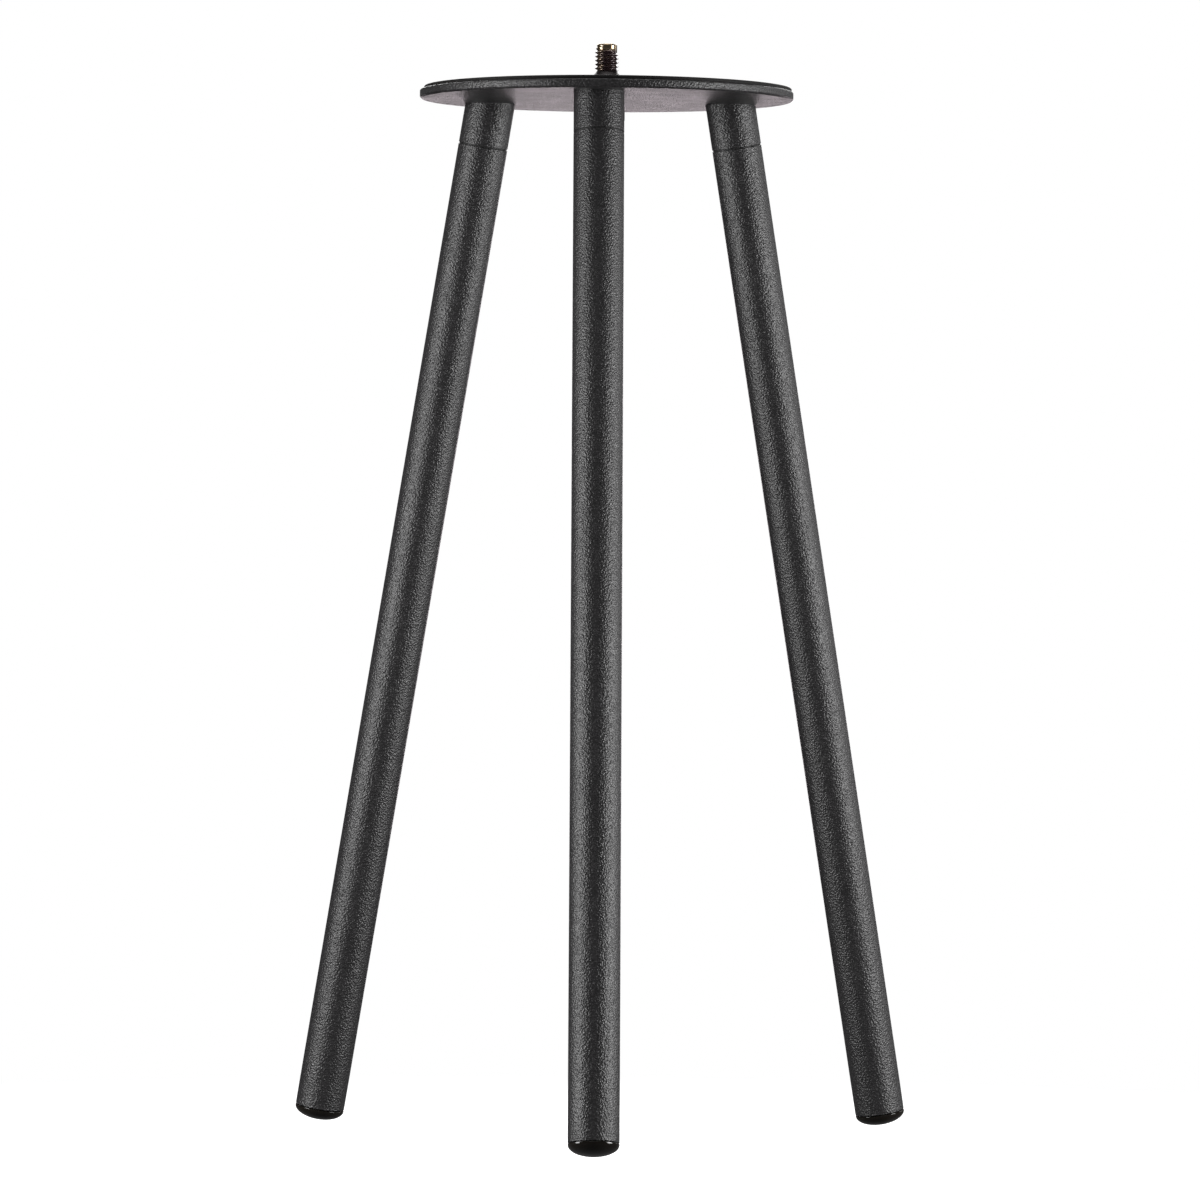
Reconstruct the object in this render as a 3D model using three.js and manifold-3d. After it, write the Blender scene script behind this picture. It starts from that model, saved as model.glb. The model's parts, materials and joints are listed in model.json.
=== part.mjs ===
// Tripod stand: a round steel plate with a rubber pad and a threaded stud, carried by three splayed
// tube legs that screw into angled sockets under the plate.
//
// Units are millimetres and +Z is up. The origin is the centre of the stud's end face, the highest
// point of the stand, on the stand's axis. Leg 1 lies towards -Y, leg 2 towards +X and leg 3 towards
// -X. Each socket sits turned a little about its screw, as its leg's thread leaves it when tightened.
// Screw threads are drawn as plain cylinders of their outside diameter.

import * as THREE from 'three';
import { mergeVertices } from 'three/addons/utils/BufferGeometryUtils.js';
import Module from 'manifold-3d';

// ---- Driving dimensions ----

// Overall height and the stack on the stand's axis, from the stud's end downwards.
const SEAT_HEIGHT = 420; // ground to the top of the pad
const STUD_REACH = 17.5; // pad top to the stud's end
const PAD_THICKNESS = 1.5;
const PLATE_THICKNESS = 3.5;

const PLATE_RADIUS = 75;
const PLATE_TOP_ROUND = 1.0;
const PLATE_BOTTOM_ROUND = 0.4;
const PAD_RADIUS = 73.8;
const PAD_HOLE_RADIUS = 9.5;
const PAD_ROUND = 0.5;

// 3/8-16 hexagon bolt, its split lock washer and its jam nut.
const BOLT_RADIUS = 4.7625;
const BOLT_TIP_RADIUS = 4.05;
const BOLT_TIP_LENGTH = 2.2;
const BOLT_TIP_ROUND = 0.3;
const BOLT_HEAD_FLATS = 14.3;
const BOLT_HEAD_HEIGHT = 6.2;
const BOLT_HOLE_RADIUS = 5.1;
const WASHER_OUTER_RADIUS = 6.8;
const WASHER_THICKNESS = 2.4; // a narrow high-collar one
const WASHER_SPLIT = 1.6;
const WASHER_SPLIT_SLANT = THREE.MathUtils.degToRad(35);
const NUT_FLATS = 14.3;
const NUT_HEIGHT = 8.3;
const NUT_BORE_RADIUS = 4.95;
const NUT_CROWN_HEIGHT = 3; // cone on top of the nut, narrowing to a thin rim at the bolt
const NUT_CROWN_RIM = 0.3;
const HEX_CORNER = 1 / Math.cos(Math.PI / 6); // a hexagon's corner radius over its flat radius
const HEX_CHAMFER = 0.6; // rise over run of the turned chamfer on a hexagon's corners

// Legs: the socket axis starts on the plate's underside at this radius and leans outwards.
const LEG_COUNT = 3;
const LEG_CIRCLE_RADIUS = 56.3;
const LEG_SPLAY = THREE.MathUtils.degToRad(10.57);
const SOCKET_TURN = THREE.MathUtils.degToRad(4.13); // anticlockwise from above, about the socket's screw
const LEG_RADIUS = 10;
const TUBE_WALL = 1.5;
const TUBE_ROUND = 0.4;
const SOCKET_LENGTH = 17;
const SOCKET_ROUND = 0.3;
const SEAM_GAP = 0.5; // socket face to tube end, filled by the seam washer
const SEAM_WASHER_THICKNESS = 0.4;
const SEAM_WASHER_RADIUS = 9.5;

// M8 leg stud, fast in the leg's insert and screwed seven turns into the socket.
const STUD_RADIUS = 4;
const STUD_CHAMFER = 0.8;
const STUD_PITCH = 1.25;
const STUD_TURNS = 7;
const STUD_DEPTH_IN_INSERT = 14;
const INSERT_LENGTH = 16;

// M6 countersunk screw down through the plate into the socket.
const SCREW_RADIUS = 3;
const SCREW_HEAD_RADIUS = 5.8;
const SCREW_SINK = 0.1; // head top below the plate's top
const SCREW_DEPTH_IN_SOCKET = 5.8;
const SCREW_CHAMFER = 0.6;
const SCREW_KEY_FLATS = 4;
const SCREW_KEY_DEPTH = 2;

// Foot cap: a flattened dome with a hollow ribbed stem inside the tube. The dome is the lower part of an
// ellipsoid as wide as the leg.
const DOME_SEMI_HEIGHT = 5.85; // half of the ellipsoid's height along the leg
const FOOT_HEIGHT = 5; // the cap's exposed height, from its edge to the pole of its dome
const FOOT_SEAM = 0.3;
const FOOT_EDGE = 0.25;
const STEM_LENGTH = 15;
const STEM_RIB = 0.35;
const STEM_RIB_COUNT = 2;
const STEM_WALL = 1.6;

// Clearances.
const GAP = 0.3; // round a piece inside its neighbour
const OVERCUT = 1; // how far a cutter passes the face that it cuts

// Facets round a full turn.
const PLATE_FACETS = 60;
const LEG_FACETS = 30;
const SMALL_FACETS = 20;
const DOME_RINGS = 6;
const ROUND_STEPS = 2;

// ---- Levels worked out from them ----

const PAD_TOP = -STUD_REACH;
const PLATE_TOP = PAD_TOP - PAD_THICKNESS;
const PLATE_BOTTOM = PLATE_TOP - PLATE_THICKNESS;
const GROUND = PAD_TOP - SEAT_HEIGHT;

// The leg's length along its axis, from the plate's underside to the pole of its dome. The leaning
// ellipsoid touches the ground this far below its centre, and that fixes the length.
const DOME_REACH = Math.hypot(DOME_SEMI_HEIGHT * Math.cos(LEG_SPLAY), LEG_RADIUS * Math.sin(LEG_SPLAY));
const DOME_CENTRE_DROP = PLATE_BOTTOM - GROUND - DOME_REACH;
const LEG_LENGTH = DOME_CENTRE_DROP / Math.cos(LEG_SPLAY) + DOME_SEMI_HEIGHT;

const TUBE_START = SOCKET_LENGTH + SEAM_GAP;
const TUBE_END = LEG_LENGTH - FOOT_HEIGHT - FOOT_SEAM;
const TUBE_BORE = LEG_RADIUS - TUBE_WALL;
const STUD_ENGAGEMENT = STUD_PITCH * STUD_TURNS;

// ---- Materials ----

const finish = (color, roughness, metalness) =>
  new THREE.MeshStandardMaterial({ color, roughness, metalness });

const POWDER_COAT = () => finish(0x2b2b2d, 0.55, 0.1);
const RUBBER = () => finish(0x161616, 0.9, 0);
const YELLOW_ZINC = () => finish(0x9c8450, 0.35, 1);
const BLACK_STEEL = () => finish(0x1c1b1c, 0.5, 0.6);
const BRIGHT_ZINC = () => finish(0xb4b8bd, 0.35, 1);
const NYLON = () => finish(0x101010, 0.6, 0);
const GLOSS_PLASTIC = () => finish(0x121112, 0.25, 0);

// ---- Shape helpers ----

const wasm = await Module();
wasm.setup();

/** A body of revolution about Z from [radius, z] points, listed anticlockwise with radius to the right. */
function turned(profile, facets) {
  const points = profile.map(([r, z]) => new THREE.Vector2(r, z));
  return new THREE.LatheGeometry(points, facets).rotateX(Math.PI / 2);
}

/** A ring about Z: its closed profile runs up the outside and down the bore. */
function ring(boreRadius, outerProfile, facets) {
  const bottom = outerProfile[0][1];
  const top = outerProfile[outerProfile.length - 1][1];
  return turned([[boreRadius, bottom], ...outerProfile, [boreRadius, top], [boreRadius, bottom]], facets);
}

/** A plain cylinder about Z between two levels. */
function rod(radius, bottom, top, facets) {
  return turned([[0, bottom], [radius, bottom], [radius, top], [0, top]], facets);
}

/** A hexagonal prism about Z between two levels. */
function hexagon(acrossFlats, bottom, top) {
  return rod((acrossFlats / 2) * HEX_CORNER, bottom, top, 6);
}

/** Points of a quarter turn anticlockwise about a [radius, z] centre: the rounded corner of a profile. */
function quarterRound([centreR, centreZ], radius, fromDegrees) {
  return Array.from({ length: ROUND_STEPS + 1 }, (_, i) => {
    const angle = THREE.MathUtils.degToRad(fromDegrees + (90 * i) / ROUND_STEPS);
    return [centreR + radius * Math.cos(angle), centreZ + radius * Math.sin(angle)];
  });
}

/** A closed three.js geometry as a solid that can be cut and joined. */
function toSolid(geometry) {
  const bare = geometry.clone();
  bare.deleteAttribute('normal');
  bare.deleteAttribute('uv');
  const merged = mergeVertices(bare, 1e-4);
  const corners = merged.index.array;
  const kept = [];
  for (let i = 0; i < corners.length; i += 3) {
    const [a, b, c] = corners.slice(i, i + 3);
    if (a !== b && b !== c && c !== a) {
      kept.push(a, b, c);
    }
  }
  return new wasm.Manifold(new wasm.Mesh({
    numProp: 3,
    vertProperties: merged.attributes.position.array,
    triVerts: new Uint32Array(kept),
  }));
}

/** A solid back as a three.js geometry. */
function toGeometry(solid) {
  const { vertProperties, triVerts } = solid.getMesh();
  const geometry = new THREE.BufferGeometry();
  geometry.setAttribute('position', new THREE.BufferAttribute(new Float32Array(vertProperties), 3));
  geometry.setIndex(new THREE.BufferAttribute(new Uint32Array(triVerts), 1));
  geometry.computeVertexNormals();
  return geometry;
}

/** The first geometry with all the others taken away from it. */
function cut(geometry, ...cutters) {
  return toGeometry(cutters.reduce((solid, cutter) => solid.subtract(toSolid(cutter)), toSolid(geometry)));
}

/** All the geometries joined into one solid. */
function join(first, ...others) {
  return toGeometry(others.reduce((solid, other) => solid.add(toSolid(other)), toSolid(first)));
}

/** What two geometries share. */
function overlap(a, b) {
  return toGeometry(toSolid(a).intersect(toSolid(b)));
}

/** One named sub-part. */
function piece(name, geometry, material) {
  const mesh = new THREE.Mesh(geometry, material);
  mesh.name = name;
  return mesh;
}

// ---- Where the legs stand ----

/** The direction of a leg round the stand: leg 1 towards -Y, then anticlockwise from above. */
function legDirection(number) {
  return -Math.PI / 2 + ((number - 1) * 2 * Math.PI) / LEG_COUNT;
}

/** The centre of a leg's socket on the plate's underside, at a level of choice. */
function legPoint(number, level) {
  const direction = legDirection(number);
  const x = LEG_CIRCLE_RADIUS * Math.cos(direction);
  const y = LEG_CIRCLE_RADIUS * Math.sin(direction);
  return new THREE.Vector3(x, y, level);
}

const LEG_NUMBERS = Array.from({ length: LEG_COUNT }, (_, i) => i + 1);

// ---- Plate, pad and centre bolt ----

function topPlate() {
  const lowerCorner = [PLATE_RADIUS - PLATE_BOTTOM_ROUND, PLATE_BOTTOM + PLATE_BOTTOM_ROUND];
  const upperCorner = [PLATE_RADIUS - PLATE_TOP_ROUND, PLATE_TOP - PLATE_TOP_ROUND];
  const disc = ring(BOLT_HOLE_RADIUS, [
    ...quarterRound(lowerCorner, PLATE_BOTTOM_ROUND, -90),
    ...quarterRound(upperCorner, PLATE_TOP_ROUND, 0),
  ], PLATE_FACETS);
  const seats = LEG_NUMBERS.map((number) => {
    const { x, y } = legPoint(number, 0);
    return screwSeat().translate(x, y, 0);
  });
  return piece('top_plate', cut(disc, ...seats), POWDER_COAT());
}

function topPad() {
  const edge = quarterRound([PAD_RADIUS - PAD_ROUND, PAD_TOP - PAD_ROUND], PAD_ROUND, 0);
  const disc = ring(PAD_HOLE_RADIUS, [[PAD_RADIUS, PLATE_TOP], ...edge], PLATE_FACETS);
  return piece('top_pad', disc, RUBBER());
}

function centreBolt() {
  const headTop = PLATE_BOTTOM - WASHER_THICKNESS;
  const headBottom = headTop - BOLT_HEAD_HEIGHT;
  const flatRadius = BOLT_HEAD_FLATS / 2;
  const cornerRadius = flatRadius * HEX_CORNER;
  const turnedBlank = turned([
    [0, headBottom],
    [flatRadius, headBottom],
    [cornerRadius, headBottom + (cornerRadius - flatRadius) * HEX_CHAMFER],
    [cornerRadius, headTop],
    [0, headTop],
  ], LEG_FACETS);
  const head = overlap(hexagon(BOLT_HEAD_FLATS, headBottom, headTop), turnedBlank);
  const shank = turned([
    [0, headTop - OVERCUT],
    [BOLT_RADIUS, headTop - OVERCUT],
    [BOLT_RADIUS, -BOLT_TIP_LENGTH],
    [BOLT_TIP_RADIUS, -BOLT_TIP_LENGTH + (BOLT_RADIUS - BOLT_TIP_RADIUS)],
    [BOLT_TIP_RADIUS, -BOLT_TIP_ROUND],
    [BOLT_TIP_RADIUS - BOLT_TIP_ROUND, 0],
    [0, 0],
  ], LEG_FACETS);
  return piece('centre_bolt', join(head, shank), YELLOW_ZINC());
}

function boltWasher() {
  const top = PLATE_BOTTOM;
  const bottom = top - WASHER_THICKNESS;
  const edge = [[WASHER_OUTER_RADIUS, bottom], [WASHER_OUTER_RADIUS, top]];
  const body = ring(BOLT_HOLE_RADIUS, edge, LEG_FACETS);
  const slit = new THREE.BoxGeometry(WASHER_OUTER_RADIUS * 2, WASHER_SPLIT, WASHER_THICKNESS * 4)
    .rotateX(WASHER_SPLIT_SLANT)
    .translate(WASHER_OUTER_RADIUS, 0, (top + bottom) / 2);
  return piece('bolt_washer', cut(body, slit), BRIGHT_ZINC());
}

function studCollar() {
  const bottom = PLATE_TOP;
  const top = bottom + NUT_HEIGHT;
  const flatRadius = NUT_FLATS / 2;
  const cornerRadius = flatRadius * HEX_CORNER;
  const turnedBlank = ring(NUT_BORE_RADIUS, [
    [flatRadius, bottom],
    [cornerRadius, bottom + (cornerRadius - flatRadius) * HEX_CHAMFER],
    [cornerRadius, top - NUT_CROWN_HEIGHT],
    [NUT_BORE_RADIUS + NUT_CROWN_RIM, top],
  ], LEG_FACETS);
  return piece('stud_collar', overlap(hexagon(NUT_FLATS, bottom, top), turnedBlank), BLACK_STEEL());
}

// ---- Socket screws ----

/** A countersunk screw's outline about Z: a shank from the bottom level, then a cone to the head's top. */
function countersunk(shankRadius, headRadius, bottom, headTop) {
  const coneBottom = headTop - (headRadius - shankRadius);
  return [[shankRadius, bottom], [shankRadius, coneBottom], [headRadius, headTop]];
}

/** The cutter for a screw's hole and countersink through the plate. */
function screwSeat() {
  const bottom = PLATE_BOTTOM - OVERCUT;
  const top = PLATE_TOP + OVERCUT;
  const headRadius = SCREW_HEAD_RADIUS + GAP;
  const outline = countersunk(SCREW_RADIUS + GAP, headRadius, bottom, PLATE_TOP - SCREW_SINK);
  return turned([[0, bottom], ...outline, [headRadius, top], [0, top]], SMALL_FACETS);
}

function socketScrew(number) {
  const headTop = PLATE_TOP - SCREW_SINK;
  const tip = PLATE_BOTTOM - SCREW_DEPTH_IN_SOCKET;
  const outline = countersunk(SCREW_RADIUS, SCREW_HEAD_RADIUS, tip + SCREW_CHAMFER, headTop);
  const profile = [[0, tip], [SCREW_RADIUS - SCREW_CHAMFER, tip], ...outline, [0, headTop]];
  const shape = turned(profile, SMALL_FACETS);
  const key = hexagon(SCREW_KEY_FLATS, headTop - SCREW_KEY_DEPTH, headTop + OVERCUT);
  const screw = piece(`socket_screw_${number}`, cut(shape, key), BRIGHT_ZINC());
  screw.position.copy(legPoint(number, 0));
  return screw;
}

// ---- One leg ----
// Pieces below are drawn with the leg's axis on Z and the plate's underside at z = 0 on that axis, so a
// distance along the leg is a negative z.

function socketGeometry() {
  const stub = turned([
    [0, -SOCKET_LENGTH],
    ...quarterRound([LEG_RADIUS - SOCKET_ROUND, -SOCKET_LENGTH + SOCKET_ROUND], SOCKET_ROUND, -90),
    [LEG_RADIUS, LEG_RADIUS],
    [0, LEG_RADIUS],
  ], LEG_FACETS);
  const threadBottom = -SOCKET_LENGTH + STUD_ENGAGEMENT + GAP;
  const thread = rod(STUD_RADIUS + GAP, -SOCKET_LENGTH - OVERCUT, threadBottom, SMALL_FACETS);
  const leaning = [stub, thread].map((geometry) => geometry.rotateY(-LEG_SPLAY));
  const halfSpace = new THREE.BoxGeometry(LEG_RADIUS * 4, LEG_RADIUS * 4, SOCKET_LENGTH * 2)
    .translate(0, 0, -SOCKET_LENGTH);
  const screwHole = rod(SCREW_RADIUS + GAP, -SCREW_DEPTH_IN_SOCKET - GAP, OVERCUT, SMALL_FACETS);
  return cut(overlap(leaning[0], halfSpace), leaning[1], screwHole);
}

function seamWasherGeometry() {
  const slack = (SEAM_GAP - SEAM_WASHER_THICKNESS) / 2;
  const top = -SOCKET_LENGTH - slack;
  const bottom = top - SEAM_WASHER_THICKNESS;
  return ring(STUD_RADIUS + GAP, [[SEAM_WASHER_RADIUS, bottom], [SEAM_WASHER_RADIUS, top]], LEG_FACETS);
}

function legStudGeometry() {
  const top = -SOCKET_LENGTH + STUD_ENGAGEMENT;
  const bottom = -TUBE_START - STUD_DEPTH_IN_INSERT;
  return turned([
    [0, bottom],
    [STUD_RADIUS - STUD_CHAMFER, bottom],
    [STUD_RADIUS, bottom + STUD_CHAMFER],
    [STUD_RADIUS, top - STUD_CHAMFER],
    [STUD_RADIUS - STUD_CHAMFER, top],
    [0, top],
  ], SMALL_FACETS);
}

function legInsertGeometry() {
  const top = -TUBE_START - GAP / 2;
  const bottom = top - INSERT_LENGTH;
  const radius = TUBE_BORE - GAP;
  return ring(STUD_RADIUS + GAP, [[radius, bottom], [radius, top]], LEG_FACETS);
}

function legTubeGeometry() {
  const shoulder = LEG_RADIUS - TUBE_ROUND;
  return ring(TUBE_BORE, [
    ...quarterRound([shoulder, -TUBE_END + TUBE_ROUND], TUBE_ROUND, -90),
    ...quarterRound([shoulder, -TUBE_START - TUBE_ROUND], TUBE_ROUND, 0),
  ], LEG_FACETS);
}

function footCapGeometry() {
  const domeCentre = -LEG_LENGTH + DOME_SEMI_HEIGHT;
  const edge = -LEG_LENGTH + FOOT_HEIGHT;
  const edgeAngle = Math.acos((domeCentre - edge + FOOT_EDGE) / DOME_SEMI_HEIGHT);
  const dome = Array.from({ length: DOME_RINGS + 1 }, (_, i) => {
    const angle = (edgeAngle * i) / DOME_RINGS;
    return [LEG_RADIUS * Math.sin(angle), domeCentre - DOME_SEMI_HEIGHT * Math.cos(angle)];
  });
  const edgeRadius = dome[DOME_RINGS][0] - FOOT_EDGE;
  const stemRadius = TUBE_BORE - GAP - STEM_RIB;
  const ribPitch = STEM_LENGTH / (STEM_RIB_COUNT + 1);
  const ribs = Array.from({ length: STEM_RIB_COUNT }, (_, i) => {
    const level = edge + ribPitch * (i + 1);
    return [
      [stemRadius, level - STEM_RIB * 2],
      [stemRadius + STEM_RIB, level],
      [stemRadius, level + STEM_RIB],
    ];
  }).flat();
  const stemTop = edge + STEM_LENGTH;
  return turned([
    ...dome,
    [edgeRadius, edge],
    [stemRadius, edge],
    ...ribs,
    [stemRadius - STEM_RIB, stemTop],
    [stemRadius - STEM_WALL, stemTop],
    [stemRadius - STEM_WALL, edge + STEM_WALL],
    [0, edge + STEM_WALL],
  ], LEG_FACETS);
}

function leg(number) {
  const turn = new THREE.Group(); // faces the way that the leg leans, along its X
  turn.position.copy(legPoint(number, PLATE_BOTTOM));
  turn.rotation.z = legDirection(number) + SOCKET_TURN;
  turn.add(piece(`leg_socket_${number}`, socketGeometry(), POWDER_COAT()));

  const lean = new THREE.Group(); // leans outwards by the splay
  lean.rotation.y = -LEG_SPLAY;
  lean.add(
    piece(`seam_washer_${number}`, seamWasherGeometry(), NYLON()),
    piece(`leg_stud_${number}`, legStudGeometry(), BRIGHT_ZINC()),
    piece(`leg_insert_${number}`, legInsertGeometry(), BRIGHT_ZINC()),
    piece(`leg_tube_${number}`, legTubeGeometry(), POWDER_COAT()),
    piece(`foot_cap_${number}`, footCapGeometry(), GLOSS_PLASTIC()),
  );
  turn.add(lean);
  return turn;
}

// ---- The stand ----

const group = new THREE.Group();
group.add(topPlate(), topPad(), centreBolt(), boltWasher(), studCollar());
group.add(...LEG_NUMBERS.map(socketScrew));
group.add(...LEG_NUMBERS.map(leg));

export default group;
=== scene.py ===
import json
import math

import bmesh
import bpy
import numpy as np
from mathutils import Matrix, Vector

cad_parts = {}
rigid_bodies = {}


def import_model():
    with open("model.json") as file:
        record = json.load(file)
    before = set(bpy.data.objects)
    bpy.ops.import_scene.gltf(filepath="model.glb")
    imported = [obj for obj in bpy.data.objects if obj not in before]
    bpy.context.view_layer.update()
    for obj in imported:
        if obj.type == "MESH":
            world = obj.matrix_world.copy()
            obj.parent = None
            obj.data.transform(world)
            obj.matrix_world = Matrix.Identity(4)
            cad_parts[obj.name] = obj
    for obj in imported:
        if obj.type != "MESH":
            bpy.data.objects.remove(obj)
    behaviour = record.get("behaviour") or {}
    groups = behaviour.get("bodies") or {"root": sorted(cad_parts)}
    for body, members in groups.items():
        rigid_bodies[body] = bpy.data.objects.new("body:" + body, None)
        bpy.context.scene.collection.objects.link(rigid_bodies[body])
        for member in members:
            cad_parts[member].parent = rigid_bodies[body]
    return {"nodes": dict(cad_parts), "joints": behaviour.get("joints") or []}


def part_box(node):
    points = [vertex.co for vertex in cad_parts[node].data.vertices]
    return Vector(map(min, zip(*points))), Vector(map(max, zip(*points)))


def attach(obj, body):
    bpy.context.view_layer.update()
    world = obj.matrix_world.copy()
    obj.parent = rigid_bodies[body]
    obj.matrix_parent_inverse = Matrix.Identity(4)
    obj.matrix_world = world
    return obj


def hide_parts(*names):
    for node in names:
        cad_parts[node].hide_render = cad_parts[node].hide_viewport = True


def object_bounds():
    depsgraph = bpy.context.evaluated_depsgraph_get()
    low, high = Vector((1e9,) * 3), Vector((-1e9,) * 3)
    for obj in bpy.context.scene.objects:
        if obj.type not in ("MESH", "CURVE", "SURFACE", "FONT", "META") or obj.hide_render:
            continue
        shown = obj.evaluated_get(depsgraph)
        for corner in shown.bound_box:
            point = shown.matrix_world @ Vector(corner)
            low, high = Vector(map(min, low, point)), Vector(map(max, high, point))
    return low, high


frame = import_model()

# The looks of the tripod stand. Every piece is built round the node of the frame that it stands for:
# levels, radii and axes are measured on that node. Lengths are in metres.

CAD_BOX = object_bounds()
MM = 0.001
BROKEN_EDGE = 0.2 * MM  # the radius of an edge that is only just broken
LEGS = (1, 2, 3)
ROOT = "stand_top"
JOINTS = {joint["name"]: joint for joint in frame["joints"]}
UPRIGHT = Matrix.Identity(4)
TURN = 2 * math.pi

# ---- Measuring the frame ----


def leg_matrix(number):
    """A leg's own frame: origin at the centre of its seam, Z up the leg, X outwards."""
    joint = JOINTS[f"leg_{number}_turn"]
    up = -Vector(joint["axis"]).normalized()
    across = Vector((0, 0, 1)).cross(up).normalized()
    outwards = across.cross(up)
    matrix = Matrix((outwards, across, up)).transposed().to_4x4()
    matrix.translation = Vector(joint["pos_m"])
    return matrix


LEG_FRAMES = {number: leg_matrix(number) for number in LEGS}


class Extent:
    """The levels and radii of a CAD node about the Z axis of a frame."""

    def __init__(self, node, matrix=UPRIGHT):
        mesh = frame["nodes"][node].data
        points = np.empty(len(mesh.vertices) * 3)
        mesh.vertices.foreach_get("co", points)
        inverse = np.array(matrix.inverted())
        local = points.reshape(-1, 3) @ inverse[:3, :3].T + inverse[:3, 3]
        radii = np.hypot(local[:, 0], local[:, 1])
        self.low = local[:, 2].min()
        self.high = local[:, 2].max()
        self.radius = radii.max()
        self.bore = radii.min()


PLATE = Extent("top_plate")
PAD = Extent("top_pad")
BOLT = Extent("centre_bolt")
WASHER = Extent("bolt_washer")
NUT = Extent("stud_collar")
GROUND = CAD_BOX[0].z

# ---- Outlines ----


def rounded(outline, closed=False, steps=5):
    """An outline of (radius, level, corner radius) points with its corners turned into arcs."""
    count = len(outline)
    points = []
    for i, (r, z, corner) in enumerate(outline):
        here = Vector((r, z))
        if corner == 0 or (not closed and i in (0, count - 1)):
            points.append(here)
            continue
        back = (Vector(outline[i - 1][:2]) - here).normalized()
        on = (Vector(outline[(i + 1) % count][:2]) - here).normalized()
        half = back.angle(on) / 2
        centre = here + (back + on).normalized() * corner / math.sin(half)
        start = here + back * corner / math.tan(half) - centre
        end = here + on * corner / math.tan(half) - centre
        sweep = start.angle(end)
        for k in range(steps + 1):
            t = k / steps
            spoke = start * math.sin((1 - t) * sweep) + end * math.sin(t * sweep)
            points.append(centre + spoke / math.sin(sweep))
    return points


def spin(points, segments=128):
    """Rings about Z from outline points; a point on the axis becomes a pole of one point."""
    angles = np.arange(segments) * TURN / segments
    rings = []
    for r, z in points:
        if r < 1e-7:
            rings.append(np.array([[0.0, 0.0, z]]))
        else:
            rings.append(np.stack([r * np.cos(angles), r * np.sin(angles), np.full(segments, z)], 1))
    return rings


def shaped_rings(levels, radius_at, segments):
    """Rings about Z whose radius is a function of the angles and the level."""
    angles = np.arange(segments) * TURN / segments
    rings = []
    for z in levels:
        r = radius_at(angles, z)
        rings.append(np.stack([r * np.cos(angles), r * np.sin(angles), np.full(segments, z)], 1))
    return rings


def pole(level):
    return np.array([[0.0, 0.0, level]])


def hexagon(angles, flat_radius, corner_cut=0.985):
    """Radius of a hexagon at some angles, with its corners a little blunt."""
    from_flat = (angles + math.pi / 6) % (math.pi / 3) - math.pi / 6
    corner_radius = flat_radius / math.cos(math.pi / 6)
    return np.minimum(flat_radius / np.cos(from_flat), corner_radius * corner_cut)


THREAD_DEPTH = 0.6134  # of a 60 degree thread, in pitches


def thread(angles, level, major, pitch, plain, phase, full_below, none_above):
    """Radius of a right-hand 60 degree thread at some angles and a level. The ridge fades into a plain
    cylinder where its crest passes from full_below up to none_above."""
    turns = level / pitch - angles / TURN + phase
    from_crest = (turns + 0.5) % 1 - 0.5
    half_flat = 1 / 16
    depth = (np.abs(from_crest) - half_flat) * pitch * math.sqrt(3)
    depth = np.clip(depth, 0, THREAD_DEPTH * pitch)
    crest_level = level - from_crest * pitch
    fade = np.clip((none_above - crest_level) / (none_above - full_below), 0, 1)
    return plain + (major - depth - plain) * fade ** 2


# ---- Pieces ----


def shell(name, rings, matrix=UPRIGHT, closed=False):
    """One closed mesh over rings of equal point counts."""
    bm = bmesh.new()
    loops = [[bm.verts.new(matrix @ Vector(p)) for p in ring] for ring in rings]
    pairs = list(zip(loops, loops[1:]))
    if closed:
        pairs.append((loops[-1], loops[0]))
    for a, b in pairs:
        count = max(len(a), len(b))
        for i in range(count):
            j = (i + 1) % count
            corners = [a[i % len(a)], a[j % len(a)], b[j % len(b)], b[i % len(b)]]
            bm.faces.new(dict.fromkeys(corners))
    bmesh.ops.recalc_face_normals(bm, faces=bm.faces)
    mesh = bpy.data.meshes.new(name)
    bm.to_mesh(mesh)
    bm.free()
    return mesh


def cut(mesh, tool):
    """A mesh with a closed tool mesh taken away from it."""
    objects = bpy.context.scene.collection.objects
    body = bpy.data.objects.new("body", mesh)
    knife = bpy.data.objects.new("knife", tool)
    objects.link(body)
    objects.link(knife)
    modifier = body.modifiers.new("cut", "BOOLEAN")
    modifier.object = knife
    modifier.solver = "EXACT"
    weld = body.modifiers.new("weld", "WELD")  # joins points that the cut leaves almost on one another
    weld.merge_threshold = 0.001 * MM
    graph = bpy.context.evaluated_depsgraph_get()
    result = bpy.data.meshes.new_from_object(body.evaluated_get(graph))
    bpy.data.objects.remove(body)
    bpy.data.objects.remove(knife)
    return result


def shade(mesh, sharp_degrees=38):
    """Smooth faces, with sharp edges wherever the surface turns by more than an angle."""
    bm = bmesh.new()
    bm.from_mesh(mesh)
    limit = math.radians(sharp_degrees)
    for face in bm.faces:
        face.smooth = True
    for edge in bm.edges:
        edge.smooth = edge.calc_face_angle(0) < limit
    bm.to_mesh(mesh)
    bm.free()


def skin(name, rings, node, body, slot, matrix=UPRIGHT, closed=False, tools=()):
    """A piece over rings, less any tool meshes, which stands for a CAD node and rides on its body."""
    mesh = shell(name, rings, matrix, closed)
    for tool in tools:
        mesh = cut(mesh, tool)
    mesh.name = name
    shade(mesh)
    piece = bpy.data.objects.new(name, mesh)
    bpy.context.scene.collection.objects.link(piece)
    piece.modifiers.new("even_shading", "WEIGHTED_NORMAL").keep_sharp = True
    piece.data.materials.append(MATERIALS[slot]())
    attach(piece, body)
    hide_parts(node)
    return piece


# ---- Material nodes ----


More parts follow.
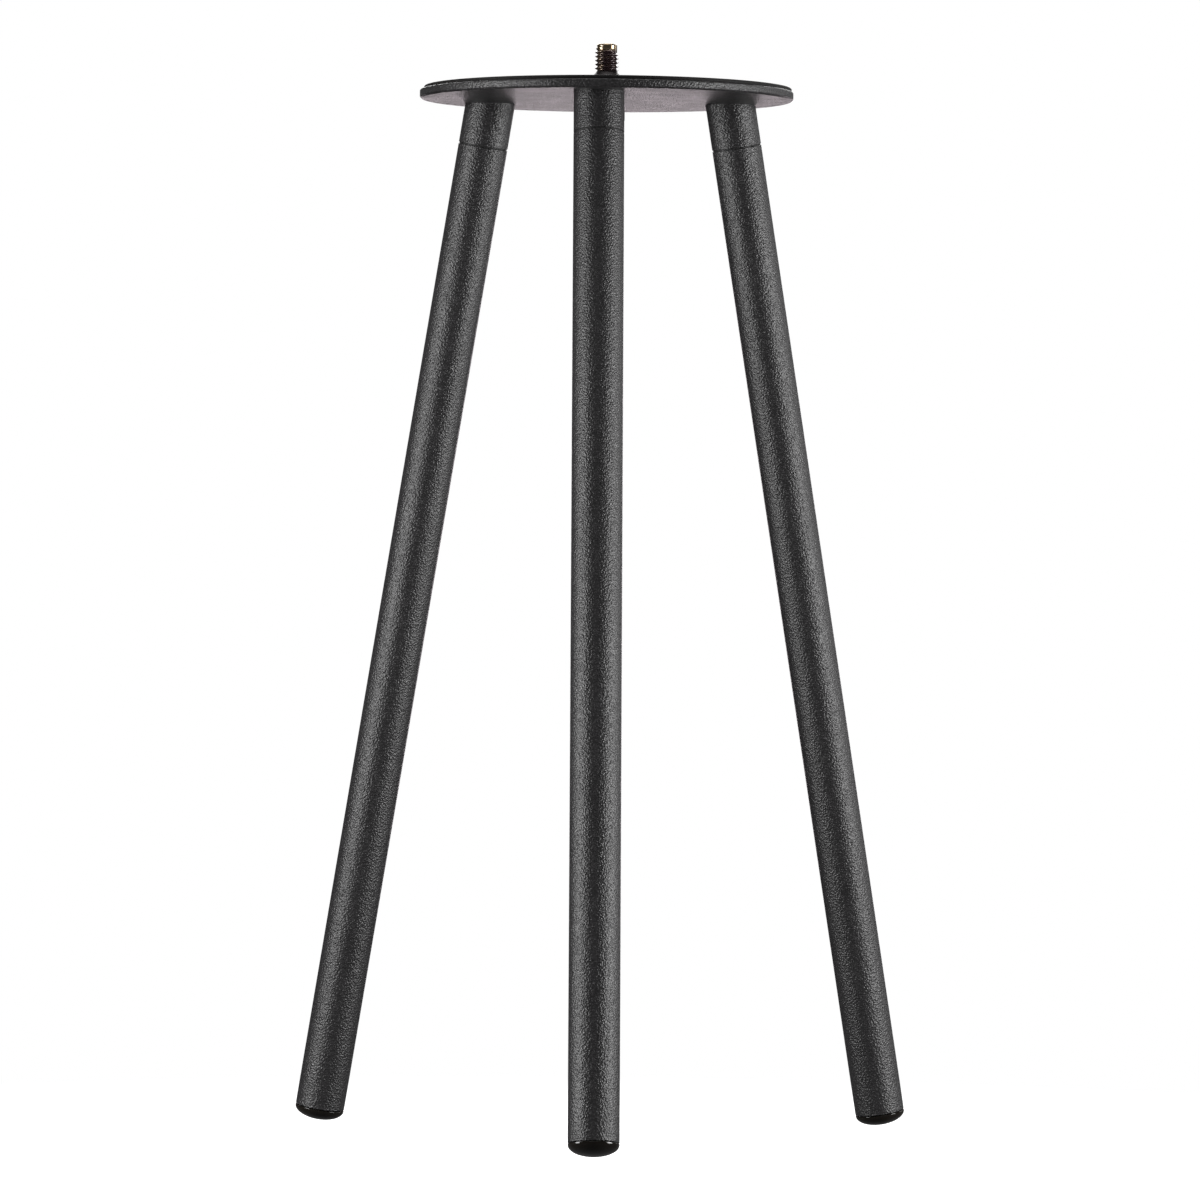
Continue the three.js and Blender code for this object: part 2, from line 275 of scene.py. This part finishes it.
class Shader:
    """A material with a Principled surface, and short calls that add nodes to it."""

    def __init__(self, name):
        self.material = bpy.data.materials.new(name)
        self.material.use_nodes = True
        self.tree = self.material.node_tree
        self.surface = self.tree.nodes["Principled BSDF"]
        self.place = self.add("ShaderNodeTexCoord").outputs["Object"]

    def add(self, kind, settings=None, **inputs):
        node = self.tree.nodes.new(kind)
        for key, value in (settings or {}).items():
            setattr(node, key, value)
        for key, value in inputs.items():
            self.feed(node, key.replace("_", " "), value)
        return node

    def feed(self, node, key, value):
        socket = node.inputs[key]
        if isinstance(value, bpy.types.NodeSocket):
            self.tree.links.new(value, socket)
        else:
            socket.default_value = value

    def set(self, **inputs):
        for key, value in inputs.items():
            self.feed(self.surface, key.replace("_", " "), value)

    def noise(self, size, detail=2.0, roughness=0.5, distortion=0.0):
        """Noise from 0 to 1 whose lumps are about a size across."""
        node = self.add("ShaderNodeTexNoise", Vector=self.place, Scale=1 / size, Detail=detail,
                        Roughness=roughness, Distortion=distortion)
        return node.outputs["Fac"]

    def pebbles(self, size, smoothness=0.4):
        """Distance from the nearest of many scattered points, about a size apart."""
        node = self.add("ShaderNodeTexVoronoi", {"feature": "SMOOTH_F1"}, Vector=self.place,
                        Scale=1 / size, Smoothness=smoothness)
        return node.outputs["Distance"]

    def remap(self, value, low, high, to_low=0.0, to_high=1.0):
        node = self.add("ShaderNodeMapRange", Value=value, From_Min=low, From_Max=high,
                        To_Min=to_low, To_Max=to_high)
        return node.outputs["Result"]

    def math(self, operation, a, b):
        node = self.add("ShaderNodeMath", {"operation": operation})
        self.feed(node, 0, a)
        self.feed(node, 1, b)
        return node.outputs[0]

    def mix(self, factor, a, b):
        node = self.add("ShaderNodeMix", {"data_type": "RGBA"})
        self.feed(node, 0, factor)
        self.feed(node, 6, a)
        self.feed(node, 7, b)
        return node.outputs[2]

    def bump(self, height, depth, strength=1.0):
        node = self.add("ShaderNodeBump", Height=height, Distance=depth, Strength=strength)
        self.set(Normal=node.outputs["Normal"])


def once(build):
    """Builds a material the first time that it is asked for."""
    made = []

    def get():
        if not made:
            made.append(build())
        return made[0]

    return get


@once
def powder_coat():
    """Black powder coat with a fine sand texture."""
    m = Shader("powder_coat")
    grain = m.remap(m.pebbles(0.78 * MM, 0.4), 0.0, 0.7, 1.0, 0.0)
    fine = m.noise(0.65 * MM, detail=2, roughness=0.6)
    drift = m.noise(9 * MM, detail=2)
    height = m.math("ADD", m.math("MULTIPLY", grain, 0.7), m.math("MULTIPLY", fine, 0.6))
    shade = m.remap(height, 0.4, 1.0)
    dark = (0.010, 0.0094, 0.010, 1)
    light = (0.030, 0.0283, 0.030, 1)
    m.set(Base_Color=m.mix(shade, dark, light))
    rough = m.remap(height, 0.4, 1.0, 0.44, 0.30)
    m.set(Roughness=m.math("ADD", rough, m.remap(drift, 0.3, 0.7, -0.03, 0.03)))
    m.bump(height, 0.25 * MM)
    return m.material


@once
def pad_rubber():
    """Matt black sheet rubber."""
    m = Shader("pad_rubber")
    skin_noise = m.noise(0.6 * MM, detail=3)
    cloud = m.noise(14 * MM, detail=2)
    m.set(Base_Color=m.mix(cloud, (0.0065, 0.006, 0.006, 1), (0.011, 0.010, 0.010, 1)))
    m.set(Roughness=m.remap(skin_noise, 0.3, 0.7, 0.55, 0.7), Specular_IOR_Level=0.12)
    m.bump(skin_noise, 0.06 * MM)
    return m.material


@once
def yellow_zinc():
    """Yellow zinc plate, pale gold at the tip, with painted shade: maroon-brown and less metallic lower down,
    most on the +X side, with random mottle.
    """
    m = Shader("yellow_zinc")
    patch = m.noise(2.2 * MM, detail=3, roughness=0.6, distortion=0.6)
    plated = m.mix(m.remap(patch, 0.42, 0.6), (0.38, 0.29, 0.18, 1), (0.20, 0.165, 0.13, 1))
    parts = m.add("ShaderNodeSeparateXYZ", Vector=m.place).outputs
    # Painted shade and painted dark reflections: maroon-brown and less metallic lower down and towards +X;
    # the mottle adds random tone.
    down = m.remap(parts["Z"], BOLT.high - 3.2 * MM, BOLT.high - 1.6 * MM, 1.0, 0.0)
    side = m.remap(parts["X"], -3.2 * MM, -0.5 * MM, 0.6, 1.0)
    mottle = m.remap(patch, 0.35, 0.65, -0.1, 0.15)
    shade_and_mottle = m.math("ADD", m.math("MULTIPLY", down, side), mottle)
    m.set(Base_Color=m.mix(shade_and_mottle, plated, (0.044, 0.025, 0.028, 1)))
    m.set(Metallic=m.remap(shade_and_mottle, 0.0, 1.0, 1.0, 0.3))
    m.set(Roughness=m.remap(patch, 0.3, 0.7, 0.16, 0.3))
    m.bump(m.noise(0.35 * MM, detail=2), 0.012 * MM)
    return m.material


@once
def bright_zinc():
    """Bright zinc plate with a faint blue bloom."""
    m = Shader("bright_zinc")
    bloom = m.noise(3 * MM, detail=3, roughness=0.6)
    m.set(Base_Color=m.mix(m.remap(bloom, 0.35, 0.65), (0.66, 0.66, 0.64, 1), (0.52, 0.57, 0.64, 1)))
    m.set(Metallic=1.0)
    m.set(Roughness=m.remap(bloom, 0.3, 0.7, 0.24, 0.4))
    m.bump(m.noise(0.3 * MM, detail=2), 0.008 * MM)
    return m.material


@once
def black_steel():
    """Black oxide on machined steel."""
    m = Shader("black_steel")
    wear = m.noise(1.1 * MM, detail=3, roughness=0.6)
    m.set(Base_Color=m.mix(m.remap(wear, 0.4, 0.7), (0.012, 0.0092, 0.0095, 1), (0.032, 0.024, 0.025, 1)))
    m.set(Metallic=0.4)
    m.set(Roughness=m.remap(wear, 0.3, 0.7, 0.4, 0.55))
    m.bump(m.noise(0.4 * MM, detail=2), 0.01 * MM)
    return m.material


@once
def washer_nylon():
    """Matt black nylon."""
    m = Shader("washer_nylon")
    mottle = m.noise(0.8 * MM, detail=2)
    m.set(Base_Color=m.mix(mottle, (0.006, 0.006, 0.006, 1), (0.012, 0.012, 0.012, 1)))
    m.set(Roughness=m.remap(mottle, 0.3, 0.7, 0.5, 0.7))
    m.bump(mottle, 0.01 * MM)
    return m.material


@once
def foot_plastic():
    """Smooth glossy black moulded plastic."""
    m = Shader("foot_plastic")
    swirl = m.noise(3 * MM, detail=3, distortion=0.4)
    m.set(Base_Color=m.mix(swirl, (0.004, 0.0033, 0.0026, 1), (0.009, 0.007, 0.005, 1)))
    m.set(Roughness=m.remap(swirl, 0.3, 0.7, 0.08, 0.18), Specular_IOR_Level=0.36)
    m.bump(m.noise(1.2 * MM, detail=2), 0.02 * MM)
    return m.material


MATERIALS = {
    "powder_coat": powder_coat,
    "pad_rubber": pad_rubber,
    "yellow_zinc": yellow_zinc,
    "bright_zinc": bright_zinc,
    "black_steel": black_steel,
    "washer_nylon": washer_nylon,
    "foot_plastic": foot_plastic,
}

# ---- Plate and pad ----


def plate():
    lower_chamfer = 0.75 * MM
    upper_round = 0.6 * MM
    outline = [
        (PLATE.bore, PLATE.low, BROKEN_EDGE),
        (PLATE.radius - lower_chamfer, PLATE.low, BROKEN_EDGE),
        (PLATE.radius, PLATE.low + lower_chamfer, BROKEN_EDGE),
        (PLATE.radius, PLATE.high, upper_round),
        (PLATE.bore, PLATE.high, BROKEN_EDGE),
    ]
    rings = spin(rounded(outline, closed=True), 256)
    seats = [screw_seat(number) for number in LEGS]
    skin("plate_disc", rings, "top_plate", ROOT, "powder_coat", closed=True, tools=seats)


def screw_seat(number):
    """The cutter for a socket screw's hole and countersink through the plate."""
    axis = screw_axis(number)
    size = Extent(f"socket_screw_{number}", axis)
    gap = 0.3 * MM
    segments = 64
    hole = M6_MAJOR + gap
    mouth = size.radius + gap
    cone_low = size.high - (mouth - hole)
    below, above = PLATE.low - MM, PLATE.high + MM
    outline = [(0, below), (hole, below), (hole, cone_low), (mouth, size.high), (mouth, above), (0, above)]
    return shell("screw_seat", spin(outline, segments), axis)


def pad():
    """The rubber sheet, stuck down a little off centre."""
    off_centre = Matrix.Translation((0.5 * MM, 0, 0))
    outline = [
        (PAD.bore, PAD.low, 0.1 * MM),
        (PAD.radius, PAD.low, 0.3 * MM),
        (PAD.radius, PAD.high, 0.45 * MM),
        (PAD.bore, PAD.high, 0.4 * MM),
    ]
    rings = spin(rounded(outline, closed=True), 256)
    skin("pad_sheet", rings, "top_pad", ROOT, "pad_rubber", matrix=off_centre, closed=True)


# ---- Centre bolt, washer and nut ----

UNC_PITCH = 25.4 / 16 * MM
UNC_MAJOR = 25.4 * 3 / 8 / 2 * MM
UNC_START = 0.7  # where its helix starts, in turns
STUD_TIP_RADIUS = 4.05 * MM
HEX_FLAT_RADIUS = NUT.radius * math.cos(math.pi / 6)
HEX_FACED_HEIGHT = 1.2 * MM  # the turned chamfer on a hexagon's corners ends within this


def faced_radius(rise):
    """Radius of the turned chamfer on a hexagon's end face, at a height above that face."""
    return HEX_FLAT_RADIUS * 0.97 + rise / 0.6


def centre_bolt():
    """A hexagon bolt. Its thread starts below a plain tip, worn away further down on the side towards +X,
    and dies away into the nut's rim."""
    head_top = WASHER.low
    head_round = 0.25 * MM
    root = UNC_MAJOR - THREAD_DEPTH * UNC_PITCH
    run_out = NUT.high - 0.25 * MM
    run_out_slope = 4
    neck = 0.6 * MM
    tip_chamfer = 0.55 * MM
    wear = 0.8 * MM
    full_below = BOLT.high - 3.2 * MM
    none_above = BOLT.high - 1.7 * MM

    def head_radius(angles, level):
        return np.minimum(hexagon(angles, HEX_FLAT_RADIUS), faced_radius(level - BOLT.low))

    def shank_radius(angles, level):
        worn = wear * np.cos(angles)
        full = thread(angles, level, UNC_MAJOR, UNC_PITCH, STUD_TIP_RADIUS, UNC_START,
                      full_below - worn, none_above - worn)
        return np.minimum(full, root + run_out_slope * (level - run_out))

    segments = 144
    head_levels = [*np.linspace(BOLT.low, BOLT.low + HEX_FACED_HEIGHT, 9), head_top - head_round]
    rings = [pole(BOLT.low)]
    rings += shaped_rings(head_levels, head_radius, segments)
    rings += shaped_rings([head_top], lambda a, z: head_radius(a, z) - BROKEN_EDGE, segments)
    rings += spin([(UNC_MAJOR, head_top), (UNC_MAJOR, NUT.low - neck), (root, NUT.low)], segments)
    levels = np.arange(run_out, BOLT.high - tip_chamfer, UNC_PITCH / 22)
    rings += shaped_rings(levels, shank_radius, segments)
    tip = [(STUD_TIP_RADIUS - tip_chamfer * 0.45, BOLT.high - 0.12 * MM)]
    tip += [(STUD_TIP_RADIUS - tip_chamfer * 0.85, BOLT.high), (0, BOLT.high)]
    rings += spin(tip, segments)
    skin("stud_bolt", rings, "centre_bolt", ROOT, "yellow_zinc")


def lock_washer():
    """A split ring: a rectangular section swept almost a full turn, with a slanting slit at its ends."""
    corner = 0.25 * MM
    section = rounded([
        (WASHER.bore, WASHER.low, corner),
        (WASHER.radius, WASHER.low, corner),
        (WASHER.radius, WASHER.high, corner),
        (WASHER.bore, WASHER.high, corner),
    ], closed=True, steps=3)
    middle = (WASHER.bore + WASHER.radius) / 2
    half_gap = 0.5 * MM / middle
    lean = 0.7 / middle
    rings = []
    for angle in np.linspace(half_gap, TURN - half_gap, 97):
        ring = []
        for r, z in section:
            a = angle + lean * (z - (WASHER.low + WASHER.high) / 2)
            ring.append((r * math.cos(a), r * math.sin(a), z))
        rings.append(np.array(ring))
    ends = [np.array([rings[0].mean(0)]), np.array([rings[-1].mean(0)])]
    skin("split_washer", [ends[0], *rings, ends[1]], "bolt_washer", ROOT, "bright_zinc")


def jam_nut():
    """A hexagon nut whose top flares down from a thin rim at the bolt to its full width."""
    bore = 3.8 * MM
    rim = 3.95 * MM
    flare_height = 4.45 * MM

    def radius(angles, level):
        drop = NUT.high - level
        flare = rim + 0.55 * drop + 0.12 * drop ** 2 / MM
        turned = np.minimum(faced_radius(level - NUT.low), flare)
        return np.minimum(hexagon(angles, HEX_FLAT_RADIUS), turned)

    segments = 144
    levels = [*np.linspace(NUT.low, NUT.low + HEX_FACED_HEIGHT, 7)]
    levels += [*np.linspace(NUT.high - flare_height, NUT.high, 18)]
    rings = shaped_rings(levels, radius, segments)
    rings += spin([(bore, NUT.high), (bore, NUT.low)], segments)
    skin("jam_nut", rings, "stud_collar", ROOT, "black_steel", closed=True)


# ---- Socket screws ----

M6_PITCH = 1.0 * MM
M6_MAJOR = 3.0 * MM


def screw_axis(number):
    """A socket screw's own frame: origin on its axis, Z up."""
    low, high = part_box(f"socket_screw_{number}")
    return Matrix.Translation(((low.x + high.x) / 2, (low.y + high.y) / 2, 0))


def socket_screw(number):
    node = f"socket_screw_{number}"
    centre = screw_axis(number)
    size = Extent(node, centre)
    cone_low = size.high - (size.radius - M6_MAJOR)
    plain = M6_MAJOR * 0.87
    point_radius = 2.3 * MM
    head_rim = 0.25 * MM
    segments = 96

    def shank(angles, level):
        full = thread(angles, level, M6_MAJOR, M6_PITCH, plain, 0, cone_low - 0.6 * MM, cone_low)
        return np.minimum(full, point_radius + (level - size.low))

    key_flat = 2.0 * MM
    key_chamfer = 0.15 * MM
    key_bottom = size.high - 2.0 * MM
    rings = [pole(size.low)]
    rings += shaped_rings(np.arange(size.low, cone_low, M6_PITCH / 14), shank, segments)
    outline = [(plain, cone_low, 0), (size.radius, size.high - head_rim, 0.1 * MM)]
    outline += [(size.radius, size.high, 0.1 * MM), (size.radius * 0.6, size.high, 0)]
    rings += spin(rounded(outline), segments)
    rings += shaped_rings([size.high], lambda a, z: hexagon(a, key_flat, 1) + key_chamfer, segments)
    key_levels = [size.high - key_chamfer, key_bottom]
    rings += shaped_rings(key_levels, lambda a, z: hexagon(a, key_flat, 1), segments)
    rings.append(pole(key_bottom - 0.6 * MM))
    skin(f"countersunk_screw_{number}", rings, node, ROOT, "bright_zinc", matrix=centre)


# ---- Sockets ----

LEG_EDGE = 0.22 * MM  # the round on both edges at a leg's seam


def socket(number):
    """A stub with its top cut flush to the plate, a screw hole from above and a stud hole from below."""
    node = f"leg_socket_{number}"
    matrix = LEG_FRAMES[number]
    inverse = matrix.inverted()
    stud = Extent(f"leg_stud_{number}", matrix)
    screw = screw_axis(number).translation
    screw_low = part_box(f"socket_screw_{number}")[0].z
    radius = Extent(f"leg_tube_{number}", matrix).radius
    segments = 128
    angles = np.arange(segments) * TURN / segments
    up = matrix.to_3x3() @ Vector((0, 0, 1))

    def to_plate(r):
        """A ring of the leg's cylinder carried along the leg's axis to the plate's underside."""
        points = []
        for a in angles:
            foot = matrix @ Vector((r * math.cos(a), r * math.sin(a), 0))
            points.append(inverse @ (foot + up * ((PLATE.low - foot.z) / up.z)))
        return np.array(points)

    def screw_ring(r, level):
        """A ring about the screw's axis, whose first point lies outwards from the plate's centre."""
        centre = Vector((screw.x, screw.y, level))
        turn = math.atan2(centre.y, centre.x)
        points = [centre + Vector((r * math.cos(a + turn), r * math.sin(a + turn), 0)) for a in angles]
        return np.array([inverse @ p for p in points])

    clearance = 0.3 * MM
    mouth = 0.6 * MM  # the chamfer at the mouth of the stud's hole
    hole = M6_MAJOR + 0.25 * MM
    hole_bottom = screw_low - clearance
    rings = [screw_ring(hole, hole_bottom).mean(0, keepdims=True)]
    rings += [screw_ring(hole, hole_bottom), screw_ring(hole, PLATE.low)]
    rings += [to_plate(radius)]
    bore = stud.radius + 0.2 * MM
    bore_top = stud.high + clearance
    lower = [(radius, mouth, 0), (radius, 0, LEG_EDGE), (bore + mouth, 0, 0)]
    lower += [(bore, mouth, 0), (bore, bore_top, 0)]
    rings += spin(rounded(lower), segments)
    rings.append(pole(bore_top))
    skin(f"socket_stub_{number}", rings, node, ROOT, "powder_coat", matrix=matrix)


# ---- Legs ----

M8_PITCH = 1.25 * MM


def seam_washer(number):
    """A thin nylon ring, squeezed out until it is nearly flush with the tube."""
    node = f"seam_washer_{number}"
    size = Extent(node, LEG_FRAMES[number])
    edge = 0.12 * MM
    squeeze = 0.2 * MM
    rim = size.radius + squeeze
    outline = [(size.bore, size.low, 0), (rim, size.low, edge)]
    outline += [(rim, size.high, edge), (size.bore, size.high, 0)]
    rings = spin(rounded(outline, closed=True, steps=3), 128)
    skin(f"nylon_washer_{number}", rings, node, f"washer_{number}", "washer_nylon",
         matrix=LEG_FRAMES[number], closed=True)


def leg_stud(number):
    node = f"leg_stud_{number}"
    size = Extent(node, LEG_FRAMES[number])
    plain = size.radius - THREAD_DEPTH * M8_PITCH * 0.9
    end_radius = plain - 0.1 * MM
    end_slope = 0.9

    def radius(angles, level):
        full = thread(angles, level, size.radius, M8_PITCH, plain, 0, size.high - 1.2 * MM, size.high)
        from_end = np.minimum(level - size.low, size.high - level)
        return np.minimum(full, end_radius + end_slope * from_end)

    levels = np.append(np.arange(size.low, size.high, M8_PITCH / 16), size.high)
    rings = [pole(size.low), *shaped_rings(levels, radius, 96), pole(size.high)]
    skin(f"threaded_stud_{number}", rings, node, f"leg_{number}", "bright_zinc", matrix=LEG_FRAMES[number])


def leg_insert(number):
    node = f"leg_insert_{number}"
    size = Extent(node, LEG_FRAMES[number])
    outline = [
        (size.bore, size.low, 0.3 * MM),
        (size.radius, size.low, 0.5 * MM),
        (size.radius, size.high, 0.4 * MM),
        (size.bore, size.high, 0.3 * MM),
    ]
    rings = spin(rounded(outline, closed=True), 96)
    skin(f"threaded_insert_{number}", rings, node, f"leg_{number}", "bright_zinc",
         matrix=LEG_FRAMES[number], closed=True)


def leg_tube(number):
    node = f"leg_tube_{number}"
    size = Extent(node, LEG_FRAMES[number])
    outline = [
        (size.bore, size.low, BROKEN_EDGE),
        (size.radius, size.low, 0.25 * MM),
        (size.radius, size.high, LEG_EDGE),
        (size.bore, size.high, BROKEN_EDGE),
    ]
    rings = spin(rounded(outline, closed=True), 128)
    skin(f"tube_{number}", rings, node, f"leg_{number}", "powder_coat",
         matrix=LEG_FRAMES[number], closed=True)


def foot_cap(number):
    """An ellipsoid dome below a short upright band, with a hollow ribbed stem up inside the tube."""
    node = f"foot_cap_{number}"
    matrix = LEG_FRAMES[number]
    size = Extent(node, matrix)
    tube = Extent(f"leg_tube_{number}", matrix)
    seam = 0.25 * MM
    edge = tube.low - seam
    band_low = edge - 0.45 * MM
    semi_height = band_low - size.low
    dome_steps = 24
    rib = 0.3 * MM
    rib_count = 3
    rib_edge = 0.1 * MM
    stem = tube.bore - rib - seam
    inner = stem - 1.4 * MM
    inner_floor = edge + 1.6 * MM

    dome = []
    for i in range(dome_steps + 1):
        a = math.pi / 2 * i / dome_steps
        dome.append((tube.radius * math.sin(a), band_low - semi_height * math.cos(a)))
    outline = [(tube.radius, edge - 0.3 * MM, 0), (tube.radius, edge, BROKEN_EDGE), (stem, edge, BROKEN_EDGE)]
    for k in range(1, rib_count + 1):
        level = edge + k * (size.high - edge) / (rib_count + 1)
        outline += [(stem, level - 2 * rib, rib_edge), (stem + rib, level, rib_edge)]
        outline.append((stem, level + rib, rib_edge))
    outline += [(stem, size.high, 0.4 * MM), (inner, size.high, BROKEN_EDGE)]
    outline += [(inner, inner_floor, 0.6 * MM), (0, inner_floor, 0)]
    rings = spin([*dome, *rounded(outline)], 128)
    skin(f"domed_foot_{number}", rings, node, f"leg_{number}", "foot_plastic", matrix=matrix)


# ---- Studio ----


def panel(name, azimuth, distance, low, high, width, radiance, tint=(1, 1, 1)):
    """An upright light panel that faces the stand. Azimuth 0 is in front, towards -Y, and 90 to the right."""
    a = math.radians(azimuth)
    away = Vector((math.sin(a), -math.cos(a), 0))
    data = bpy.data.lights.new(name, "AREA")
    data.shape = "RECTANGLE"
    data.size, data.size_y = width, high - low
    data.energy = radiance * math.pi * width * (high - low)
    data.color = tint
    light = bpy.data.objects.new(name, data)
    light.location = away * distance + Vector((0, 0, (low + high) / 2))
    light.rotation_mode = "QUATERNION"
    light.rotation_quaternion = away.to_track_quat("Z", "Y")
    light.visible_camera = False
    bpy.context.scene.collection.objects.link(light)
    return light


def side_panels(name, azimuth, distance, width, radiance):
    """Two panels, one above the other. The lower one is brighter, so the legs grow paler towards the feet."""
    bottom = GROUND + 0.01
    join = GROUND / 3
    top = 0.13
    panel(f"{name}_low_panel", azimuth, distance, bottom, join, width, radiance * 1.25)
    panel(f"{name}_high_panel", azimuth, distance, join, top, width, radiance * 0.9)


def overhead(name, height, width, radiance):
    """A square panel above the stand that faces down."""
    light = panel(name, 0, 0, 0, width, width, radiance)
    light.location = (0, 0, height)
    light.rotation_quaternion = (1, 0, 0, 0)


def floor():
    """A pale floor, lifted to near white for the camera and dark to the stand's reflections. It lies just
    low enough for legs that are screwed out to their limit."""
    travel = max(JOINTS[f"leg_{number}_travel"]["range_m"][1] for number in LEGS)
    floor_radius = 30
    bm = bmesh.new()
    bmesh.ops.create_circle(bm, cap_ends=True, segments=96, radius=floor_radius)
    mesh = bpy.data.meshes.new("floor")
    bm.to_mesh(mesh)
    bm.free()
    sheet = bpy.data.objects.new("floor", mesh)
    sheet.location.z = GROUND - travel
    bpy.context.scene.collection.objects.link(sheet)
    m = Shader("floor")
    paper = m.noise(0.2, detail=2)
    far = m.add("ShaderNodeVectorMath", {"operation": "LENGTH"}, Vector=m.place).outputs["Value"]
    near = m.remap(far, 0.2, 0.5, 1.0, 0.0)
    grey = m.mix(paper, (0.80, 0.80, 0.80, 1), (0.82, 0.82, 0.82, 1))
    seen = m.add("ShaderNodeLightPath").outputs["Is Camera Ray"]
    lit = m.mix(seen, (0.11, 0.11, 0.11, 1), grey)
    m.set(Base_Color=m.mix(near, (0, 0, 0, 1), lit), Roughness=0.9)
    m.set(Specular_IOR_Level=0.0)
    glow = m.math("MULTIPLY", seen, m.remap(near, 0.0, 1.0, 1.0, 0.66))
    m.set(Emission_Color=(1, 1, 1, 1), Emission_Strength=glow)
    mesh.materials.append(m.material)


def world():
    """White to the camera; to the stand, a dim room."""
    room, backdrop = 0.10, 1.0
    w = bpy.data.worlds.new("studio")
    w.use_nodes = True
    tree = w.node_tree
    background = tree.nodes["Background"]
    seen = tree.nodes.new("ShaderNodeLightPath").outputs["Is Camera Ray"]
    level = tree.nodes.new("ShaderNodeMix")
    level.data_type = "FLOAT"
    tree.links.new(seen, level.inputs[0])
    level.inputs[2].default_value = room
    level.inputs[3].default_value = backdrop
    tree.links.new(level.outputs[0], background.inputs["Strength"])
    background.inputs["Color"].default_value = (1, 1, 1, 1)
    bpy.context.scene.world = w


def camera():
    """A long lens three metres in front, a little to the right and just under mid-height."""
    azimuth = math.radians(3.025)
    distance = 3.019
    below_plate = 0.2029
    data = bpy.data.cameras.new("camera")
    data.sensor_width = 36
    data.lens = 225.5
    data.clip_start, data.clip_end = 0.1, 100
    eye = bpy.data.objects.new("camera", data)
    pan = Matrix.Rotation(math.radians(3.042), 3, "Z")
    pitch = Matrix.Rotation(math.radians(90.04), 3, "X")
    roll = Matrix.Rotation(math.radians(0.5), 3, "Z")
    eye.matrix_world = (pan @ pitch @ roll).to_4x4()
    away = Vector((math.sin(azimuth), -math.cos(azimuth), 0))
    eye.location = away * distance + Vector((0, 0, PLATE.low - below_plate))
    bpy.context.scene.collection.objects.link(eye)
    bpy.context.scene.camera = eye


plate()
pad()
centre_bolt()
lock_washer()
jam_nut()
for n in LEGS:
    socket_screw(n)
    socket(n)
    seam_washer(n)
    leg_stud(n)
    leg_insert(n)
    leg_tube(n)
    foot_cap(n)

floor()
world()
side_panels("left", azimuth=-64, distance=0.70, width=0.25, radiance=13.8)
side_panels("right", azimuth=72.5, distance=0.90, width=0.36, radiance=16)
panel("right_back_panel", azimuth=122, distance=0.8, low=-0.42, high=0.30, width=0.25, radiance=2.0)
panel("back_panel", azimuth=180, distance=1.6, low=-0.43, high=-0.04, width=0.9, radiance=3.1,
      tint=(1.0, 0.89, 0.94))
panel("rear_high_panel", azimuth=180, distance=1.4, low=0.35, high=1.25, width=1.4, radiance=6.5)
overhead("top_panel", height=1.3, width=1.0, radiance=3.0)
camera()
bpy.context.scene.view_settings.view_transform = "Standard"
